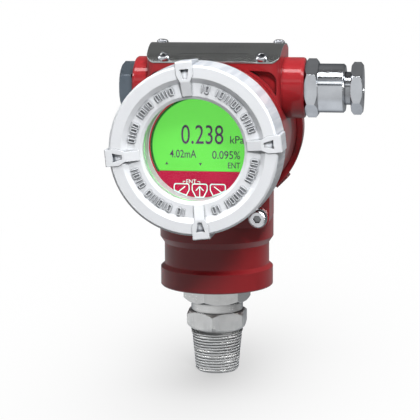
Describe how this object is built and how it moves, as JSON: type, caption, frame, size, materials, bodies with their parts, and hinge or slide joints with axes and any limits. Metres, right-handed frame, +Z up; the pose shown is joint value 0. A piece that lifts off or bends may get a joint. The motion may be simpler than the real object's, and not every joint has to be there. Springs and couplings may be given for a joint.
{
  "type": "pressure transmitter",
  "caption": "Pressure transmitter: round windowed display cover on a two-compartment cast housing, cable gland, blanking plug and tapered process thread below.",
  "frame": {"origin": "centre of the lower end of the process thread", "axes": "+Z up the neck from the thread, the display looks along -Y, the cable gland is on the +X side"},
  "size_m": [0.1052, 0.1093, 0.1466],
  "materials": {
    "housing_paint": "glossy red powder coat",
    "cover_paint": "satin white powder coat",
    "window_glass": "clear flat glass",
    "seal_rubber": "matte black rubber",
    "display_plastic": "light grey moulded plastic",
    "lcd_glass": "back-lit green liquid crystal panel",
    "faceplate_print": "crimson printed sheet",
    "key_print": "crimson keys with pale outlines",
    "circuit_board": "green circuit board",
    "brass": "plain brass",
    "screw_steel": "zinc-plated steel",
    "terminal_plastic": "black moulded plastic",
    "feedthrough": "potting resin",
    "nameplate_steel": "bare stainless sheet",
    "nickel_plate": "bright nickel plate",
    "plug_steel": "dark blue-grey plated steel",
    "stainless": "machined stainless steel",
    "keeper_steel": "bare aluminium ring"
  },
  "bodies": {
    "transmitter": {"housing": "housing_paint", "conduit_seals": "seal_rubber", "gland_bush": "seal_rubber", "neck_seal": "seal_rubber", "capsule_seal": "seal_rubber", "display_body": "display_plastic", "lcd_panel": "lcd_glass", "faceplate": "faceplate_print", "main_board": "circuit_board", "sensor_board": "circuit_board", "board_standoffs": "brass", "board_screws": "screw_steel", "terminal_screws": "screw_steel", "terminal_block_screws": "screw_steel", "nameplate_screws": "screw_steel", "ground_screw": "screw_steel", "ground_washer": "screw_steel", "terminal_block": "terminal_plastic", "bulkhead_feedthrough": "feedthrough", "nameplate": "nameplate_steel", "gland_body": "nickel_plate", "blanking_plug": "plug_steel", "sensor_body": "stainless", "process_adapter": "stainless", "sensor_capsule": "stainless"},
    "front_window": {"window_glass": "window_glass", "window_retaining_ring": "keeper_steel", "front_cover_seal": "seal_rubber"},
    "front_cover": {"front_cover": "cover_paint"},
    "rear_cover_carrier": {"rear_cover_seal": "seal_rubber"},
    "rear_cover": {"rear_cover": "housing_paint"},
    "gland_washer": {"gland_washer": "nickel_plate"},
    "gland_nut": {"gland_nut": "nickel_plate"},
    "key_left": {"key_left": "key_print"},
    "key_middle": {"key_middle": "key_print"},
    "key_right": {"key_right": "key_print"}
  },
  "joints": [
    {"name": "front_cover_travel", "type": "slide", "parent": "transmitter", "child": "front_window", "axis": [0, -1, 0], "range_m": [0, 0.008]},
    {"name": "front_cover_turn", "type": "hinge", "parent": "front_window", "child": "front_cover", "pos_m": [0, -0.0425, 0.105], "axis": [0, -1, 0], "range_deg": [0, 1440]},
    {"name": "rear_cover_travel", "type": "slide", "parent": "transmitter", "child": "rear_cover_carrier", "axis": [0, 1, 0], "range_m": [0, 0.008]},
    {"name": "rear_cover_turn", "type": "hinge", "parent": "rear_cover_carrier", "child": "rear_cover", "pos_m": [0, 0.029, 0.105], "axis": [0, 1, 0], "range_deg": [0, 1440]},
    {"name": "gland_nut_travel", "type": "slide", "parent": "transmitter", "child": "gland_washer", "axis": [1, 0, 0], "range_m": [0, 0.006]},
    {"name": "gland_nut_turn", "type": "hinge", "parent": "gland_washer", "child": "gland_nut", "pos_m": [0.0589, 0, 0.126], "axis": [1, 0, 0], "range_deg": [0, 1440]},
    {"name": "key_left_press", "type": "slide", "parent": "transmitter", "child": "key_left", "axis": [0, 1, 0], "range_m": [0, 0.0004], "stiffness_N_per_m": 900, "springref_m": -0.0004},
    {"name": "key_middle_press", "type": "slide", "parent": "transmitter", "child": "key_middle", "axis": [0, 1, 0], "range_m": [0, 0.0004], "stiffness_N_per_m": 900, "springref_m": -0.0004},
    {"name": "key_right_press", "type": "slide", "parent": "transmitter", "child": "key_right", "axis": [0, 1, 0], "range_m": [0, 0.0004], "stiffness_N_per_m": 900, "springref_m": -0.0004}
  ],
  "couplings": [
    {"joint": "front_cover_turn", "follows": "front_cover_travel", "rad_per_m": 3140},
    {"joint": "rear_cover_turn", "follows": "rear_cover_travel", "rad_per_m": 3140},
    {"joint": "gland_nut_turn", "follows": "gland_nut_travel", "rad_per_m": 4186.7}
  ]
}
